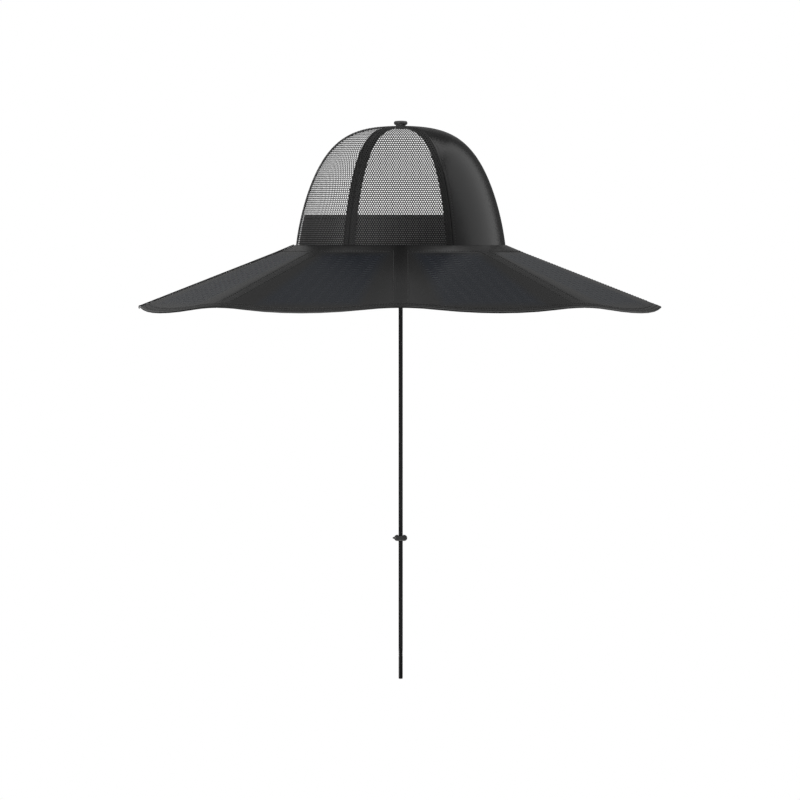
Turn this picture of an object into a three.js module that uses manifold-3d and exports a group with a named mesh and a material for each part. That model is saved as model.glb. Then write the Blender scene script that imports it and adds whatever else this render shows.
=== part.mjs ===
// A wide-brimmed sun hat with solar panels on its eight-sided brim and a crown of open net.
// Millimetres, +Z up, +X to the front, +Y to the wearer's left.
// The origin lies on the crown's axis, in the plane of the crown's base.
import * as THREE from "three";
import Module from "manifold-3d";
import { mergeVertices } from "three/addons/utils/BufferGeometryUtils.js";

const wasm = await Module();
wasm.setup();

const GAP = 0.3;
const DEGREE = Math.PI / 180;

// Crown: one side of its outline, from the base to the top, as the control points of one curve.
const CROWN_OUTLINE = [
  { r: 94.3, z: 0 },
  { r: 88.3, z: 49.6 },
  { r: 68.2, z: 94.9 },
  { r: 52.7, z: 107.4 },
  { r: 0, z: 107.4 },
];
const CROWN_ROWS = 11;
const CROWN_COLUMN_ANGLE = 5;
const NET_THICKNESS = 1.0;
const CLOTH_THICKNESS = 1.2;

// Crown panels: azimuths of their two edges, counted from the front towards the left.
const CROWN_PANELS = [
  { name: "front_panel", from: -60, to: 60, thickness: CLOTH_THICKNESS },
  { name: "mesh_panel_left", from: 60, to: 120, thickness: NET_THICKNESS },
  { name: "mesh_panel_back_left", from: 120, to: 180, thickness: NET_THICKNESS },
  { name: "mesh_panel_back_right", from: 180, to: 240, thickness: NET_THICKNESS },
  { name: "mesh_panel_right", from: 240, to: 300, thickness: NET_THICKNESS },
];

// Seam tapes: the seam that each one covers, and how far its middle lies towards the net.
// Inside the taper radius they narrow with the crown.
const TAPE_WIDTH = 12;
const TAPE_THICKNESS = 0.8;
const TAPE_TOP_RADIUS = 7.5;
const TAPE_TAPER_RADIUS = 14;
const TAPE_DEPTH = CLOTH_THICKNESS + GAP;
const SEAM_TAPES = [
  { name: "seam_tape_left_front", seam: 60, shift: 0.8 },
  { name: "seam_tape_left_back", seam: 120, shift: 0 },
  { name: "seam_tape_back", seam: 180, shift: 0 },
  { name: "seam_tape_right_back", seam: 240, shift: 0 },
  { name: "seam_tape_right_front", seam: 300, shift: -0.8 },
];

// Sweatband inside the crown's base.
const BAND_HEIGHT = 27.5;
const BAND_THICKNESS = 1.3;
const BAND_DEPTH = TAPE_DEPTH + TAPE_THICKNESS + GAP;
const BAND_COLUMNS = 60;

// Top button and the shank that passes through the crown.
const BUTTON_RADIUS = 6.15;
const BUTTON_TOP = 112;
const BUTTON_THICKNESS = 3.9;
const BUTTON_ROUNDING = 1.5;
const SHANK_RADIUS = 4.5;
const SHANK_FOOT = 104.6;
const BUTTON_SIDES = 24;

// Brim: eight flat facets that fall from the crown, with rounded folds between them.
const FACETS = 8;
const HALF_FACET = Math.PI / FACETS;
const RIM_RADIUS = 234.6;
const BRIM_INNER_RADIUS = 89.9;
const BRIM_SEAT_RADIUS = 95.0;
const FACET_APEX = 37.0;
const FACET_FALL = 0.414;
const FOLD_ROUNDING_BASE = 2.15;
const FOLD_ROUNDING_GROWTH = 0.126;
const BRIM_THICKNESS = 2.0;
const RIM_THICKNESS = 1.6;

// Solar panels: each lies in a shallow pocket of its facet, between two fold strips.
const STRIP_HALF_WIDTH = 8;
const PANEL_TOP = 105.1;
const PANEL_FOOT_RADIUS = 226;
const PANEL_THICKNESS = 0.7;
const POCKET_DEPTH = PANEL_THICKNESS + GAP;
const POCKET_WALL = 0.2;
const FACET_SPLITS = [0.25, 0.6, 1];
const POCKET_ROWS = 3;

// Binding along the back fold, hooked over the rim.
const BINDING_WIDTH = 10;
const BINDING_THICKNESS = 1.3;
const BINDING_HOOK = 1.4;

// Chin strap: two flat strands, one on each side, from the sweatband to the cord lock and on to the strap end.
const STRAP_WIDTH = 3.6;
const STRAP_THICKNESS = 1.8;
const STRAND_SPACING = 2.4;
const STRAP_STEP = 9.8;
const STRAP_ROUTE = [
  { y: 86.9, z: 14 },
  { y: 88.1, z: 6 },
  { y: 88.5, z: -1 },
  { y: 87.8, z: -9 },
  { y: 84.4, z: -22 },
  { y: 68.3, z: -74 },
  { y: 48.0, z: -131 },
  { y: 26.2, z: -187 },
  { y: 9.6, z: -228 },
  { y: 4.2, z: -241 },
  { y: 1.9, z: -249 },
  { y: STRAND_SPACING / 2, z: -256 },
  { y: STRAND_SPACING / 2, z: -264 },
  { y: STRAND_SPACING / 2, z: -300 },
];
const STRAP_END_TOP = -362;
const STRAP_END_FOOT = -390.4;
const STRAP_END_DEPTH = 4.8;

// Cord lock: its body, a vertical slot for the strands with a trough across its mouth, and a blind bore.
const LOCK = { x: 11.8, y: 10.4, z: 5.6, corner: 2.75, edge: 1.2 };
const LOCK_CENTRE = -263.5;
const SLOT = { x: 4.2, y: 5.0 };
const MOUTH = { x: 4.6, depth: 1.0 };
const BORE = { y: 7.6, z: 2.2, end: 5.1 };

// Press button: a plate with a window around the strands, and a nub that stands out of the bore.
const BUTTON_PLATE = { y: 7.0, z: 1.6, from: -5.4, to: 3.6 };
const BUTTON_WINDOW = { y: 4.8, from: -3.3, to: 2.1 };
const BUTTON_NUB = { y: 5.0, tip: -7.2 };

const MATERIALS = {
  cloth: { color: 0x3c3c3e, roughness: 0.75, metalness: 0 },
  net: { color: 0x262627, roughness: 0.8, metalness: 0 },
  tape: { color: 0x2a2a2b, roughness: 0.85, metalness: 0 },
  band: { color: 0x9d9d9d, roughness: 0.9, metalness: 0 },
  brim: { color: 0x363638, roughness: 0.8, metalness: 0 },
  solar: { color: 0x34383f, roughness: 0.4, metalness: 0.1 },
  strap: { color: 0x1c1c1c, roughness: 0.8, metalness: 0 },
  plastic: { color: 0x2b2b2c, roughness: 0.35, metalness: 0 },
};

const hat = new THREE.Group();
hat.name = "solar_panel_hat";

function addPiece(name, geometry, look) {
  const material = new THREE.MeshStandardMaterial(MATERIALS[look]);
  const mesh = new THREE.Mesh(geometry, material);
  mesh.name = name;
  hat.add(mesh);
}

function mix(a, b, share) {
  return a + (b - a) * share;
}

// Turns a triangle list over where its faces point inwards.
function facingOut(positions, triangles) {
  let volume = 0;
  const corner = (index) => new THREE.Vector3(...positions[index]);
  for (const [a, b, c] of triangles) {
    volume += corner(a).dot(corner(b).cross(corner(c)));
  }
  return volume > 0 ? triangles : triangles.map(([a, b, c]) => [a, c, b]);
}

// A closed wall between two skins of a grid. point(row, column, skin) places each corner, skin 0 outside and 1 inside.
function wallGeometry(rows, columns, isRing, point) {
  const across = isRing ? columns : columns + 1;
  const positions = [];
  for (const skin of [0, 1]) {
    for (let row = 0; row <= rows; row++) {
      for (let column = 0; column < across; column++) {
        positions.push(point(row, column, skin));
      }
    }
  }
  const corner = (row, column, skin) => (skin * (rows + 1) + row) * across + (column % across);
  const triangles = [];
  const quad = (a, b, c, d) => triangles.push([a, b, c], [a, c, d]);
  for (let column = 0; column < columns; column++) {
    const next = column + 1;
    for (let row = 0; row < rows; row++) {
      const up = row + 1;
      quad(corner(row, column, 0), corner(row, next, 0), corner(up, next, 0), corner(up, column, 0));
      quad(corner(row, column, 1), corner(up, column, 1), corner(up, next, 1), corner(row, next, 1));
    }
    quad(corner(0, column, 0), corner(0, column, 1), corner(0, next, 1), corner(0, next, 0));
    quad(corner(rows, column, 0), corner(rows, next, 0), corner(rows, next, 1), corner(rows, column, 1));
  }
  if (!isRing) {
    for (let row = 0; row < rows; row++) {
      const up = row + 1;
      quad(corner(row, 0, 0), corner(up, 0, 0), corner(up, 0, 1), corner(row, 0, 1));
      quad(corner(row, columns, 0), corner(row, columns, 1), corner(up, columns, 1), corner(up, columns, 0));
    }
  }
  const geometry = new THREE.BufferGeometry();
  geometry.setAttribute("position", new THREE.Float32BufferAttribute(positions.flat(), 3));
  geometry.setIndex(facingOut(positions, triangles).flat());
  return geometry;
}

// Boolean cuts and joins.
function toSolid(geometry) {
  const bare = geometry.clone();
  bare.deleteAttribute("normal");
  bare.deleteAttribute("uv");
  const merged = mergeVertices(bare, 1e-4);
  const vertProperties = new Float32Array(merged.attributes.position.array);
  const triVerts = new Uint32Array(merged.index.array);
  return new wasm.Manifold(new wasm.Mesh({ numProp: 3, vertProperties, triVerts }));
}

function toGeometry(solid) {
  const mesh = solid.getMesh();
  const geometry = new THREE.BufferGeometry();
  geometry.setAttribute("position", new THREE.BufferAttribute(mesh.vertProperties, 3));
  geometry.setIndex(new THREE.BufferAttribute(mesh.triVerts, 1));
  return geometry;
}

// Crown surface: the outline's radius and height at a share of the curve, set in by a depth.
const crownPoints = CROWN_OUTLINE.map(({ r, z }) => new THREE.Vector2(r, z));

function crownCurve(share, points = crownPoints) {
  if (points.length === 1) {
    return points[0];
  }
  const next = points.slice(1).map((point, index) => points[index].clone().lerp(point, share));
  return crownCurve(share, next);
}

function crownWall(share, depth) {
  const step = 1e-3;
  const here = crownCurve(share);
  const along = crownCurve(share + step).clone().sub(crownCurve(share - step)).normalize();
  if (share === 0) {
    return new THREE.Vector2(here.x - depth / along.y, here.y);
  }
  return new THREE.Vector2(here.x - depth * along.y, here.y + depth * along.x);
}

// The share of the outline at which a measure, rising along it, reaches a value.
function crownShare(measure, value) {
  let low = 0;
  let high = 1;
  for (let turn = 0; turn < 40; turn++) {
    const middle = (low + high) / 2;
    if (measure(crownCurve(middle)) < value) {
      low = middle;
    } else {
      high = middle;
    }
  }
  return low;
}

function onCircle(radius, angle, z) {
  return [radius * Math.cos(angle), radius * Math.sin(angle), z];
}

const shankHoleShare = crownShare((point) => -point.x, -(SHANK_RADIUS + GAP));

function crownPanel({ name, from, to, thickness }) {
  const columns = Math.round((to - from) / CROWN_COLUMN_ANGLE);
  const geometry = wallGeometry(CROWN_ROWS, columns, false, (row, column, skin) => {
    const wall = crownWall((shankHoleShare * row) / CROWN_ROWS, skin * thickness);
    const seamGap = Math.asin(GAP / 2 / wall.x);
    const angle = mix(from * DEGREE + seamGap, to * DEGREE - seamGap, column / columns);
    return onCircle(wall.x, angle, wall.y);
  });
  addPiece(name, geometry, name === "front_panel" ? "cloth" : "net");
}

function seamTape({ name, seam, shift }) {
  const topShare = crownShare((point) => -point.x, -TAPE_TOP_RADIUS);
  const columns = 2;
  const geometry = wallGeometry(CROWN_ROWS, columns, false, (row, column, skin) => {
    const wall = crownWall((topShare * row) / CROWN_ROWS, TAPE_DEPTH + skin * TAPE_THICKNESS);
    const taper = Math.min(1, wall.x / TAPE_TAPER_RADIUS);
    const aside = (shift + TAPE_WIDTH * (column / columns - 0.5)) * taper;
    return onCircle(wall.x, seam * DEGREE + aside / wall.x, wall.y);
  });
  addPiece(name, geometry, "tape");
}

function sweatband() {
  const rows = 2;
  const topShare = crownShare((point) => point.y, BAND_HEIGHT);
  const geometry = wallGeometry(rows, BAND_COLUMNS, true, (row, column, skin) => {
    const wall = crownWall((topShare * row) / rows, BAND_DEPTH + skin * BAND_THICKNESS);
    return onCircle(wall.x, (2 * Math.PI * column) / BAND_COLUMNS, wall.y);
  });
  addPiece("sweatband", geometry, "band");
}

function topButton() {
  const foot = BUTTON_TOP - BUTTON_THICKNESS;
  const edge = BUTTON_RADIUS - BUTTON_ROUNDING;
  const outline = new THREE.Path();
  outline.moveTo(0, SHANK_FOOT);
  outline.lineTo(SHANK_RADIUS, SHANK_FOOT);
  outline.lineTo(SHANK_RADIUS, foot);
  outline.lineTo(BUTTON_RADIUS, foot + 0.8);
  outline.lineTo(BUTTON_RADIUS, BUTTON_TOP - BUTTON_ROUNDING);
  outline.quadraticCurveTo(BUTTON_RADIUS, BUTTON_TOP - 0.2, edge, BUTTON_TOP - 0.1);
  outline.lineTo(0, BUTTON_TOP);
  const geometry = new THREE.LatheGeometry(outline.getPoints(4), BUTTON_SIDES);
  geometry.rotateX(90 * DEGREE);
  addPiece("top_button", geometry, "cloth");
}

// Brim surface: height of the top skin at a radius and at an angle from the nearest fold.
function facetHeight(radius, fromFold) {
  const alongFacet = radius * Math.cos(HALF_FACET - fromFold);
  const fromFoldLine = radius * Math.sin(fromFold);
  const rounding = FOLD_ROUNDING_BASE + FOLD_ROUNDING_GROWTH * radius;
  const foldFall = FACET_FALL * Math.sin(HALF_FACET);
  const inside = Math.max(0, rounding - fromFoldLine);
  return FACET_APEX - FACET_FALL * alongFacet - (foldFall * inside * inside) / (2 * rounding);
}

function brimHeight(radius, fromFold) {
  if (radius <= BRIM_SEAT_RADIUS) {
    return -GAP;
  }
  const ringEnd = PANEL_TOP / Math.cos(HALF_FACET - fromFold);
  const lift = -GAP - facetHeight(BRIM_SEAT_RADIUS, fromFold);
  const share = Math.max(0, (ringEnd - radius) / (ringEnd - BRIM_SEAT_RADIUS));
  return facetHeight(radius, fromFold) + lift * share;
}

// A corner of a facet's grid in its own plan: along its middle line and aside of it.
function onRing(radius, fromFoldLine) {
  const angle = HALF_FACET - Math.asin(fromFoldLine / radius);
  return new THREE.Vector2(radius * Math.cos(angle), radius * Math.sin(angle));
}

function onLine(along, fromFoldLine) {
  return new THREE.Vector2(along, along * Math.tan(HALF_FACET) - fromFoldLine / Math.cos(HALF_FACET));
}

// Distances from the fold line of one half facet's columns, on a row where the middle is this far from the fold.
function halfFacetColumns(edge, middle) {
  return [edge, ...FACET_SPLITS.map((share) => mix(edge, middle, share))];
}

// One row of a facet's grid, from its right fold to its left one, as plan points.
function facetRow(place, distances) {
  const half = distances.map((distance) => place(distance));
  const other = half.slice(0, -1).reverse().map((point) => new THREE.Vector2(point.x, -point.y));
  return [...half.map((point) => point.clone()), ...other];
}

function ringRow(radius, distances) {
  return facetRow((distance) => onRing(radius, distance), distances(radius * Math.sin(HALF_FACET)));
}

function lineRow(along, distances) {
  return facetRow((distance) => onLine(along, distance), distances(along * Math.sin(HALF_FACET)));
}

function mixRows(first, last, share) {
  return first.map((point, index) => point.clone().lerp(last[index], share));
}

function facetPlace(plan, facetAngle, drop) {
  const radius = plan.length();
  const aside = Math.atan2(plan.y, plan.x);
  const z = brimHeight(radius, HALF_FACET - Math.abs(aside)) - drop;
  return onCircle(radius, facetAngle + aside, z);
}

function facetAngle(facet) {
  return -(2 * facet + 1) * HALF_FACET;
}

function brim() {
  const pocketEdge = STRIP_HALF_WIDTH + POCKET_WALL;
  const distances = (middle) => [0, STRIP_HALF_WIDTH, ...halfFacetColumns(pocketEdge, middle)];
  const pocketTop = lineRow(PANEL_TOP + POCKET_WALL, distances);
  const pocketFoot = ringRow(PANEL_FOOT_RADIUS - POCKET_WALL, distances);
  const rows = [
    ringRow(BRIM_INNER_RADIUS, distances),
    ringRow(BRIM_SEAT_RADIUS, distances),
    lineRow(PANEL_TOP, distances),
  ];
  const firstPocketRow = rows.length;
  for (let row = 0; row <= POCKET_ROWS; row++) {
    rows.push(mixRows(pocketTop, pocketFoot, row / POCKET_ROWS));
  }
  const lastPocketRow = rows.length - 1;
  rows.push(ringRow(PANEL_FOOT_RADIUS, distances), ringRow(RIM_RADIUS, distances));
  const columns = rows[0].length - 1;
  const isPocket = (row, column) =>
    row >= firstPocketRow && row <= lastPocketRow && column >= 2 && column <= columns - 2;
  const geometry = wallGeometry(rows.length - 1, FACETS * columns, true, (row, index, skin) => {
    const facet = Math.floor(index / columns);
    const column = index % columns;
    const thickness = row === rows.length - 1 ? RIM_THICKNESS : BRIM_THICKNESS;
    const drop = skin === 1 ? thickness : isPocket(row, column) ? POCKET_DEPTH : 0;
    return facetPlace(rows[row][column], facetAngle(facet), drop);
  });
  addPiece("brim", geometry, "brim");
}

function solarPanel(facet) {
  const edge = STRIP_HALF_WIDTH + POCKET_WALL + GAP;
  const distances = (middle) => halfFacetColumns(edge, middle);
  const top = lineRow(PANEL_TOP + POCKET_WALL + GAP, distances);
  const foot = ringRow(PANEL_FOOT_RADIUS - POCKET_WALL - GAP, distances);
  const geometry = wallGeometry(POCKET_ROWS, top.length - 1, false, (row, column, skin) => {
    const plan = mixRows(top, foot, row / POCKET_ROWS)[column];
    return facetPlace(plan, facetAngle(facet), skin * PANEL_THICKNESS);
  });
  addPiece(`solar_panel_${facet + 1}`, geometry, "solar");
}

function backSeamBinding() {
  const height = (radius) => brimHeight(radius, 0) + GAP;
  const stations = [BRIM_SEAT_RADIUS + 0.8, PANEL_TOP / Math.cos(HALF_FACET), RIM_RADIUS];
  const under = stations.map((radius) => new THREE.Vector2(-radius, height(radius)));
  const over = under.map((point) => new THREE.Vector2(point.x, point.y + BINDING_THICKNESS));
  const rimEnd = -(RIM_RADIUS + GAP);
  const hookEnd = rimEnd - BINDING_HOOK;
  const hookFoot = height(RIM_RADIUS) - GAP - RIM_THICKNESS - 0.4;
  const hook = [
    new THREE.Vector2(rimEnd, under.at(-1).y),
    new THREE.Vector2(rimEnd, hookFoot),
    new THREE.Vector2(hookEnd, hookFoot),
    new THREE.Vector2(hookEnd, over.at(-1).y - 0.6),
  ];
  const outline = new THREE.Shape([...under, ...hook, ...over.reverse()]);
  const geometry = new THREE.ExtrudeGeometry(outline, { depth: BINDING_WIDTH, bevelEnabled: false });
  geometry.rotateX(90 * DEGREE);
  geometry.translate(0, BINDING_WIDTH / 2, 0);
  addPiece("back_seam_binding", geometry, "tape");
}

// Section of a strand: flat, with its corners cut, its width across the hat's fore-and-aft line.
function strandSection() {
  const cut = STRAP_THICKNESS * 0.3;
  const x = STRAP_WIDTH / 2;
  const y = STRAP_THICKNESS / 2;
  const corners = [
    [x, cut - y],
    [x, y - cut],
    [x - cut, y],
    [cut - x, y],
    [-x, y - cut],
    [-x, cut - y],
    [cut - x, -y],
    [x - cut, -y],
  ];
  return new THREE.Shape(corners.map(([a, b]) => new THREE.Vector2(a, b)));
}

function strand(name, side) {
  const foot = { y: STRAND_SPACING / 2, z: STRAP_END_TOP + GAP };
  const route = [...STRAP_ROUTE, foot].map(({ y, z }) => new THREE.Vector3(0, side * y, z));
  const path = new THREE.CatmullRomCurve3(route, false, "centripetal");
  const steps = Math.round(path.getLength() / STRAP_STEP);
  addPiece(name, new THREE.ExtrudeGeometry(strandSection(), { steps, extrudePath: path }), "strap");
}

// A block centred on a point, its sides given by their full lengths.
function block(x, y, z, centre) {
  const geometry = new THREE.BoxGeometry(x, y, z);
  geometry.translate(...centre);
  return geometry;
}

// A plate whose outline lies in the vertical fore-and-aft plane, with its two faces' edges rounded.
function roundedPlate(x, y, z, corner, edge, segments) {
  const a = x / 2 - edge;
  const b = z / 2 - edge;
  const r = Math.max(corner - edge, 0.05);
  const outline = new THREE.Shape();
  outline.moveTo(r - a, -b);
  outline.lineTo(a - r, -b);
  outline.absarc(a - r, r - b, r, -90 * DEGREE, 0, false);
  outline.absarc(a - r, b - r, r, 0, 90 * DEGREE, false);
  outline.absarc(r - a, b - r, r, 90 * DEGREE, 180 * DEGREE, false);
  outline.absarc(r - a, r - b, r, 180 * DEGREE, 270 * DEGREE, false);
  const depth = y - 2 * edge;
  const bevel = { bevelSize: edge, bevelThickness: edge, bevelSegments: 2 };
  const geometry = new THREE.ExtrudeGeometry(outline, { depth, curveSegments: segments, ...bevel });
  geometry.translate(0, 0, -depth / 2);
  geometry.rotateX(90 * DEGREE);
  return geometry;
}

function cordLock() {
  const { x, y, z, corner, edge } = LOCK;
  const body = roundedPlate(x, y, z, corner, edge, 5);
  const slot = block(SLOT.x, SLOT.y, 2 * z, [0, 0, 0]);
  const boreFrom = -x;
  const bore = block(BORE.end - boreFrom, BORE.y, BORE.z, [(BORE.end + boreFrom) / 2, 0, 0]);
  const mouth = roundedPlate(MOUTH.x, 2 * y, 2 * MOUTH.depth, MOUTH.depth, 0.05, 4);
  mouth.translate(0, 0, z / 2);
  let solid = toSolid(body);
  for (const hollow of [slot, bore, mouth]) {
    solid = solid.subtract(toSolid(hollow));
  }
  const geometry = toGeometry(solid);
  geometry.translate(0, 0, LOCK_CENTRE);
  addPiece("cord_lock", geometry, "plastic");
}

function lockButton() {
  const { y, z, from, to } = BUTTON_PLATE;
  const plate = block(to - from, y, z, [(from + to) / 2, 0, 0]);
  const nubEnd = BUTTON_NUB.tip;
  const nub = block(from - nubEnd + 1, BUTTON_NUB.y, z, [(from + 1 + nubEnd) / 2, 0, 0]);
  const length = BUTTON_WINDOW.to - BUTTON_WINDOW.from;
  const middle = (BUTTON_WINDOW.to + BUTTON_WINDOW.from) / 2;
  const window = block(length, BUTTON_WINDOW.y, 2 * z, [middle, 0, 0]);
  const solid = toSolid(plate).add(toSolid(nub)).subtract(toSolid(window));
  const geometry = toGeometry(solid);
  geometry.translate(0, 0, LOCK_CENTRE);
  addPiece("lock_button", geometry, "plastic");
}

function strapEnd() {
  const height = STRAP_END_TOP - STRAP_END_FOOT;
  const geometry = roundedPlate(STRAP_WIDTH + 0.1, STRAP_END_DEPTH, height, 0.9, 0.6, 3);
  geometry.translate(0, 0, (STRAP_END_TOP + STRAP_END_FOOT) / 2);
  addPiece("strap_end", geometry, "plastic");
}

CROWN_PANELS.forEach(crownPanel);
SEAM_TAPES.forEach(seamTape);
sweatband();
topButton();
brim();
for (let facet = 0; facet < FACETS; facet++) {
  solarPanel(facet);
}
backSeamBinding();
strand("strap_left", 1);
strand("strap_right", -1);
cordLock();
lockButton();
strapEnd();

export default hat;
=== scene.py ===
"""The solar panel hat's looks: net, cloth, laminated panels, strap and lock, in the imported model's frame.

Sizes are in millimetres, and build_mesh and solid turn them into metres. The camera's and the lights' places
are in metres.
"""

import math

import bmesh
import bpy
import numpy as np
from mathutils import Matrix, Vector


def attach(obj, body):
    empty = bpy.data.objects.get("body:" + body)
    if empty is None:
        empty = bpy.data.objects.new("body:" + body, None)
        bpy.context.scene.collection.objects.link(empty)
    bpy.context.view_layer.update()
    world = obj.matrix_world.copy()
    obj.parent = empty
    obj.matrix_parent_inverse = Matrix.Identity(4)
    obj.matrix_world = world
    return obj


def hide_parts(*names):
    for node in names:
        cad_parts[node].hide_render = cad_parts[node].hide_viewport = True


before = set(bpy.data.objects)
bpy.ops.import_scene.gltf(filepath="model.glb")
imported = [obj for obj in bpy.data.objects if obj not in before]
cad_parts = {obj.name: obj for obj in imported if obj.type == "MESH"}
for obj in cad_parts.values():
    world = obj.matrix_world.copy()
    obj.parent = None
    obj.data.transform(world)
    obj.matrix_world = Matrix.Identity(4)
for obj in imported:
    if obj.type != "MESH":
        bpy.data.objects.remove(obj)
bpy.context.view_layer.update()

MM = 0.001
HAT = "hat"
BUTTON_BODY = "lock_button"
TAU = 2 * math.pi

# Crown outline: radius and height of the control points of one curve, from the base to the top.
CROWN_OUTLINE = np.array([[94.3, 0], [88.3, 49.6], [68.2, 94.9], [52.7, 107.4], [0, 107.4]])
CLOTH_THICKNESS = 1.2
NET_THICKNESS = 0.16
NET_DEPTH = 0.25
TAPE_THICKNESS = 0.7
TAPE_WIDTH = 12.0
BAND_DEPTH = 2.9
BAND_THICKNESS = 1.1
BAND_HEIGHT = 28.0
BAND_STITCH_INSET = 3.5

# Top button and its shank.
BUTTON_RADIUS = 6.15
BUTTON_TOP = 112.0
BUTTON_THICKNESS = 3.9
BUTTON_ROUNDING = 1.5
BUTTON_CROWN = 0.3
SHANK_RADIUS = 4.5
SHANK_HOLE_RADIUS = 4.8
SHANK_FOOT = 104.6
BUTTON_SIDES = 64

# Net: hexagonal holes in staggered rows.
NET_PITCH = 2.123
NET_ROW = NET_PITCH * math.sqrt(3) / 2
NET_HOLE = 1.21
BACK_NET_HOLE = 1.33
NET_LEAST_RISE = 0.6
NET_FIRST_ROW = 0.3
SEAM_GAP = 0.15
SELVEDGE = 0.9
SELVEDGE_THICKNESS = 0.8

# Brim: facets, rounded folds and shallow pockets for the panels.
FACETS = 8
HALF_FACET = math.pi / FACETS
RIM_RADIUS = 234.6
BRIM_INNER_RADIUS = 89.9
BRIM_SEAT_RADIUS = 95.0
BRIM_SEAT_HEIGHT = 0.1
FACET_APEX = 37.0
FACET_FALL = 0.414
FOLD_ROUNDING_BASE = 2.15
FOLD_ROUNDING_GROWTH = 0.126
BRIM_THICKNESS = 2.0
RIM_THICKNESS = 1.6
STRIP_HALF_WIDTH = 8.0
PANEL_TOP = 105.1
PANEL_FOOT_RADIUS = 226.0
PANEL_THICKNESS = 0.7
POCKET_DEPTH = 1.0
EDGE_STITCH_INSET = 1.5
HEM_STITCH_RADIUS = 231.2
HEM_RISE = 0.12
RIM_ROUNDING = 0.8
PANEL_EDGE_GAP = 0.04
PANEL_EDGE_DROP = 0.02
POCKET_LIP = 0.03

# Binding along the back fold, hooked over the rim.
BINDING_WIDTH = 10.0
BINDING_THICKNESS = 1.1
BINDING_STITCH_ASIDE = 3.6

# Chin strap: one strand's route, as distances from the middle plane and heights.
STRAP_WIDTH = 3.8
STRAP_THICKNESS = 1.8
STRAND_OFFSET = 1.2
STRAND_FOOT = -364.5
STRAP_ROUTE = np.array([
    [86.9, 14], [88.1, 6], [88.5, -1], [87.8, -9], [84.4, -22], [68.3, -74],
    [48.0, -131], [26.2, -187], [9.6, -228], [4.2, -241], [1.9, -249], [STRAND_OFFSET, -256],
    [STRAND_OFFSET, -264], [STRAND_OFFSET, -300], [STRAND_OFFSET, STRAND_FOOT],
])
STRAP_END_TOP = -362.0
STRAP_END_FOOT = -390.4
STRAP_END_WIDTH = 3.7
STRAP_END_DEPTH = 4.8

# Cord lock: full lengths across, a vertical slot with a trough across its mouth, and a blind bore.
LOCK_CENTRE = -263.5
LOCK_SIZE = (11.8, 10.4, 5.6)
LOCK_CORNER = 2.75
LOCK_EDGE = 1.7
SLOT_SIZE = (4.2, 5.0)
MOUTH_WIDTH = 4.6
MOUTH_DEPTH = 1.0
BORE_SIZE = (7.6, 2.2)
BORE_END = 5.1
PLATE_SIZE = (7.0, 1.6)
PLATE_ENDS = (-5.4, 3.6)
WINDOW_WIDTH = 4.8
WINDOW_ENDS = (-3.3, 2.1)
NUB_WIDTH = 5.0
NUB_TIP = -7.2


# Camera and light

CAMERA_DISTANCE = 3.0
PHOTO_WIDTH = 0.72
PHOTO_CENTRE = (-0.0006, -0.1394)


def make_camera():
    """A side view without perspective, as in a catalogue drawing: the near and far nets fall in line."""
    data = bpy.data.cameras.new("camera")
    data.type = "ORTHO"
    data.ortho_scale = PHOTO_WIDTH
    data.clip_start = 0.1
    data.clip_end = 3 * CAMERA_DISTANCE
    camera = bpy.data.objects.new("camera", data)
    camera.location = (PHOTO_CENTRE[0], -CAMERA_DISTANCE, PHOTO_CENTRE[1])
    camera.rotation_euler = (math.pi / 2, 0, 0)
    bpy.context.scene.collection.objects.link(camera)
    bpy.context.scene.camera = camera


make_camera()


# Nodes

def add_node(tree, kind, inputs=None, **settings):
    node = tree.nodes.new(kind)
    for name, value in settings.items():
        setattr(node, name, value)
    for name, value in (inputs or {}).items():
        if isinstance(value, bpy.types.NodeSocket):
            tree.links.new(value, node.inputs[name])
        else:
            node.inputs[name].default_value = value
    return node


def calc(tree, operation, *values):
    return add_node(tree, "ShaderNodeMath", dict(enumerate(values)), operation=operation).outputs[0]


def noise(tree, coordinates, scale, detail):
    inputs = {"Vector": coordinates, "Scale": scale, "Detail": detail}
    return add_node(tree, "ShaderNodeTexNoise", inputs).outputs["Fac"]


def remap(tree, value, low, high, to_low=0.0, to_high=1.0):
    inputs = {"Value": value, "From Min": low, "From Max": high, "To Min": to_low, "To Max": to_high}
    return add_node(tree, "ShaderNodeMapRange", inputs).outputs["Result"]


def mix_colour(tree, share, first, second):
    return add_node(tree, "ShaderNodeMix", {0: share, 6: first, 7: second}, data_type="RGBA").outputs[2]


def grey(value, tint=(1.0, 1.0, 1.0)):
    return (value * tint[0], value * tint[1], value * tint[2], 1.0)


def new_material(name, roughness, **sockets):
    material = bpy.data.materials.new(name)
    material.use_nodes = True
    tree = material.node_tree
    surface = tree.nodes["Principled BSDF"]
    surface.inputs["Roughness"].default_value = roughness
    for socket, value in sockets.items():
        surface.inputs[socket.replace("_", " ")].default_value = value
    return material, tree, surface


def cloth_places(tree):
    """The cloth's own directions in millimetres, from the piece's UV map: across it and along it."""
    uv = add_node(tree, "ShaderNodeUVMap").outputs["UV"]
    axes = add_node(tree, "ShaderNodeSeparateXYZ", {0: uv}).outputs
    return uv, axes[0], axes[1]


def ripple(tree, place, pitch):
    """A wave from 0 to 1 along one direction, with one crest a pitch."""
    angle = calc(tree, "MULTIPLY", place, TAU / pitch)
    return calc(tree, "MULTIPLY_ADD", calc(tree, "SINE", angle), 0.5, 0.5)


def plain_weave(tree, across, along, pitch):
    a = calc(tree, "SINE", calc(tree, "MULTIPLY", across, math.pi / pitch))
    b = calc(tree, "SINE", calc(tree, "MULTIPLY", along, math.pi / pitch))
    return calc(tree, "MULTIPLY_ADD", calc(tree, "MULTIPLY", a, b), 0.5, 0.5)


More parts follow.
